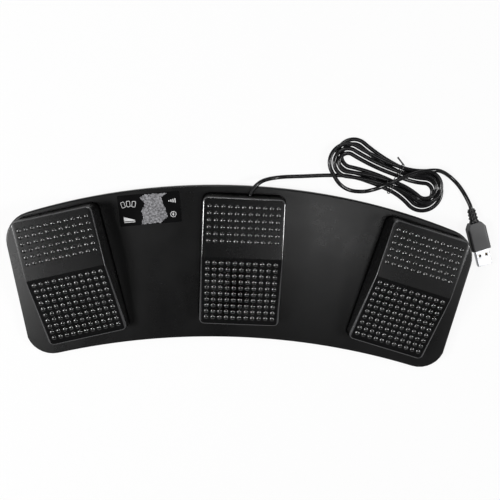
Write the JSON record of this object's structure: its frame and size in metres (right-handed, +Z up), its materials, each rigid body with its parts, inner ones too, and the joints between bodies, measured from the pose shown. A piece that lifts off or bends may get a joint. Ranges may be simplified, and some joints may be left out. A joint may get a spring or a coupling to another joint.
{
  "type": "foot pedal switch",
  "caption": "Arched foot switch with a row of hinged, sprung wedge pedals with studded grip tops, each over a microswitch, and a tied hank of cord that ends in a plug.",
  "frame": {"origin": "on the floor, under the middle of the base's width and depth, the cord left out", "axes": "+X to the right along the row of pedals, +Y to the rear where the cord leaves, +Z up"},
  "size_m": [0.4103, 0.1943, 0.0346],
  "materials": {
    "base_plastic": "satin black moulding",
    "pedal_plastic": "satin black moulding with a fine grain",
    "rubber": "black rubber",
    "steel": "bright steel",
    "label": "glossy black film",
    "switch_plastic": "black",
    "plunger": "red",
    "contact": "plated",
    "board": "green lacquer",
    "pale_plastic": "off-white",
    "lead_sheath": "red sheath",
    "cord_sheath": "glossy black sheath",
    "tie": "black",
    "plug_plastic": "black moulding",
    "plug_steel": "bright plated steel"
  },
  "bodies": {
    "base": {"base_shell": "base_plastic", "bottom_plate": "base_plastic", "rubber_feet": "rubber", "plate_screws": "steel", "label_plate": "label", "left_hinge_pin": "steel", "middle_hinge_pin": "steel", "right_hinge_pin": "steel", "left_return_spring": "steel", "middle_return_spring": "steel", "right_return_spring": "steel", "left_bump_stops": "rubber", "middle_bump_stops": "rubber", "right_bump_stops": "rubber", "left_switch_body": "switch_plastic", "middle_switch_body": "switch_plastic", "right_switch_body": "switch_plastic", "left_switch_terminals": "contact", "middle_switch_terminals": "contact", "right_switch_terminals": "contact", "left_switch_board": "board", "controller_board": "board", "right_switch_board": "board", "board_screws": "steel", "controller_chip": "switch_plastic", "lead_connectors": "pale_plastic", "left_switch_lead": "lead_sheath", "right_switch_lead": "lead_sheath", "cord_grommet": "rubber", "inner_cord": "cord_sheath", "cord_lead": "cord_sheath", "cord_hank": "cord_sheath", "cord_tail": "cord_sheath", "hank_tie": "tie", "plug_strain_relief": "plug_plastic", "plug_grip": "plug_plastic", "plug_shell": "plug_steel", "plug_insert": "pale_plastic", "plug_contacts": "contact"},
    "left_pedal": {"left_pedal": "pedal_plastic"},
    "left_plunger": {"left_switch_plunger": "plunger"},
    "middle_pedal": {"middle_pedal": "pedal_plastic"},
    "middle_plunger": {"middle_switch_plunger": "plunger"},
    "right_pedal": {"right_pedal": "pedal_plastic"},
    "right_plunger": {"right_switch_plunger": "plunger"}
  },
  "joints": [
    {"name": "left_pedal_press", "type": "hinge", "parent": "base", "child": "left_pedal", "pos_m": [-0.12759, -0.04682, 0.014], "axis": [-0.9659, -0.2588, 0], "range_deg": [0, 2.4], "stiffness_Nm_per_rad": 4.8, "springref_deg": -3.58, "deforming": ["left_return_spring"]},
    {"name": "middle_pedal_press", "type": "hinge", "parent": "base", "child": "middle_pedal", "pos_m": [0, -0.03048, 0.014], "axis": [-1, 0, 0], "range_deg": [0, 2.4], "stiffness_Nm_per_rad": 4.8, "springref_deg": -3.58, "deforming": ["middle_return_spring"]},
    {"name": "right_pedal_press", "type": "hinge", "parent": "base", "child": "right_pedal", "pos_m": [0.12759, -0.04682, 0.014], "axis": [-0.9659, 0.2588, 0], "range_deg": [0, 2.4], "stiffness_Nm_per_rad": 4.8, "springref_deg": -3.58, "deforming": ["right_return_spring"]},
    {"name": "left_plunger_slide", "type": "slide", "parent": "base", "child": "left_plunger", "axis": [0, 0, -1], "range_m": [0, 0.00102]},
    {"name": "middle_plunger_slide", "type": "slide", "parent": "base", "child": "middle_plunger", "axis": [0, 0, -1], "range_m": [0, 0.00102]},
    {"name": "right_plunger_slide", "type": "slide", "parent": "base", "child": "right_plunger", "axis": [0, 0, -1], "range_m": [0, 0.00102]}
  ],
  "couplings": [
    {"joint": "left_plunger_slide", "follows": "left_pedal_press", "m_per_rad": 0.024},
    {"joint": "middle_plunger_slide", "follows": "middle_pedal_press", "m_per_rad": 0.024},
    {"joint": "right_plunger_slide", "follows": "right_pedal_press", "m_per_rad": 0.024}
  ]
}
